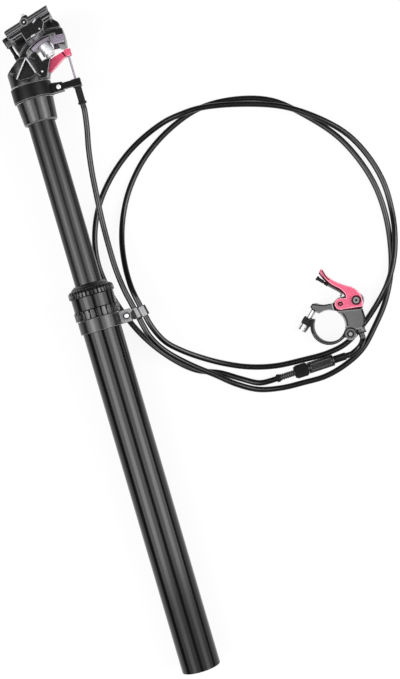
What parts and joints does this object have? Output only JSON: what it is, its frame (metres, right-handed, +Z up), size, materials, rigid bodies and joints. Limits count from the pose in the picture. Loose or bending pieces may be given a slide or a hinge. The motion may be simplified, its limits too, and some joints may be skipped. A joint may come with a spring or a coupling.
{
  "type": "dropper seatpost",
  "caption": "Telescopic bicycle seatpost that drops and rises on a gas spring, released through a cable from a thumb lever on the handlebar; two-rail saddle clamp.",
  "frame": {"origin": "centre of the foot of the outer tube, on its axis", "axes": "+Y along the post from its foot to its head, +X to the rear of the bicycle, +Z up from the table it lies on; the post leans 1.7 degrees because the clamp's side touches the table"},
  "size_m": [0.2354, 0.4635, 0.0541],
  "materials": {
    "tube_black": "satin black anodised",
    "ring_black": "matt black anodised, knurled",
    "red_anodised": "pinkish red anodised",
    "dark_red": "dark red anodised",
    "steel": "bright plated steel",
    "dark_steel": "black oxide steel",
    "bare_alloy": "plain alloy",
    "remote_grey": "dark grey anodised",
    "bush": "plain bearing plastic",
    "brass_key": "plain brass",
    "wiper_rubber": "soft black rubber",
    "housing": "black plastic cable housing",
    "fitting_black": "black moulded plastic"
  },
  "bodies": {
    "lower": {"outer_tube": "tube_black", "foot_plug": "ring_black", "foot_bolt": "steel", "gas_rod": "steel", "top_bush": "bush", "lock_ring": "ring_black", "collar": "tube_black", "knurled_cap": "ring_black", "dust_wiper": "wiper_rubber", "cable_clip": "tube_black", "clip_screw": "steel", "cable_upper": "housing", "cable_loops": "housing", "cable_end": "housing", "adjuster_tail": "fitting_black", "adjuster_body": "ring_black", "adjuster_ferrule": "fitting_black", "remote_body": "remote_grey", "strap_pin": "steel", "thumb_bolt": "dark_steel", "thumb_nut": "dark_steel"},
    "upper": {"stanchion": "tube_black", "low_bush": "bush", "guide_keys": "brass_key", "gas_cylinder": "bare_alloy", "gas_gland": "bare_alloy", "head": "tube_black", "cable_bracket": "tube_black", "bracket_screw": "steel", "stop_ferrule": "fitting_black", "lever_pin": "steel"},
    "saddle_clamp": {"lower_cradle": "tube_black", "top_plate": "tube_black", "clamp_bolt": "steel", "clamp_washer": "steel", "clamp_nut": "steel", "front_screw": "dark_steel"},
    "head_lever_body": {"head_lever": "red_anodised", "anchor_screw": "steel"},
    "valve": {"valve_pin": "steel"},
    "wire": {"head_wire": "steel"},
    "thumb_lever_body": {"thumb_lever": "red_anodised", "pinch_screw": "dark_red", "wire_tail": "steel", "wire_cap": "fitting_black"},
    "strap": {"bar_strap": "remote_grey", "strap_screw": "steel"},
    "barrel": {"adjuster_barrel": "ring_black"}
  },
  "joints": [
    {"name": "post_travel", "type": "slide", "parent": "lower", "child": "upper", "axis": [0, 0.9996, 0.0298], "range_m": [-0.11, 0], "stiffness_N_per_m": 150, "springref_m": 0.3, "deforming": ["cable_upper"]},
    {"name": "saddle_tilt", "type": "hinge", "parent": "upper", "child": "saddle_clamp", "pos_m": [0.0235, 0.41731, 0.01245], "axis": [0, 0.0298, -0.9996], "range_deg": [-4, 4]},
    {"name": "head_lever_turn", "type": "hinge", "parent": "upper", "child": "head_lever_body", "pos_m": [-0.007, 0.42881, 0.01279], "axis": [0, 0.0298, -0.9996], "range_deg": [0, 6.8]},
    {"name": "valve_press", "type": "slide", "parent": "upper", "child": "valve", "axis": [0, -0.9996, -0.0298], "range_m": [0, 0.0006]},
    {"name": "wire_pull", "type": "slide", "parent": "upper", "child": "wire", "axis": [0, -0.9996, -0.0298], "range_m": [0, 0.0045]},
    {"name": "thumb_push", "type": "hinge", "parent": "lower", "child": "thumb_lever_body", "pos_m": [0.17589, 0.2142, -0.00696], "axis": [0.1822, 0, -0.9833], "range_deg": [0, 25], "stiffness_Nm_per_rad": 0.06, "springref_deg": -20.05},
    {"name": "strap_open", "type": "hinge", "parent": "lower", "child": "strap", "pos_m": [0.16576, 0.1928, -0.00884], "axis": [-0.1822, 0, 0.9833], "range_deg": [0, 6]},
    {"name": "barrel_turn", "type": "hinge", "parent": "lower", "child": "barrel", "pos_m": [0.12449, 0.17763, -0.00859], "axis": [0.9994, 0.0349, 0], "continuous": true}
  ],
  "couplings": [
    {"joint": "head_lever_turn", "follows": "thumb_push", "ratio": 0.2719},
    {"joint": "valve_press", "follows": "thumb_push", "m_per_rad": 0.001374},
    {"joint": "wire_pull", "follows": "thumb_push", "m_per_rad": 0.01031}
  ]
}
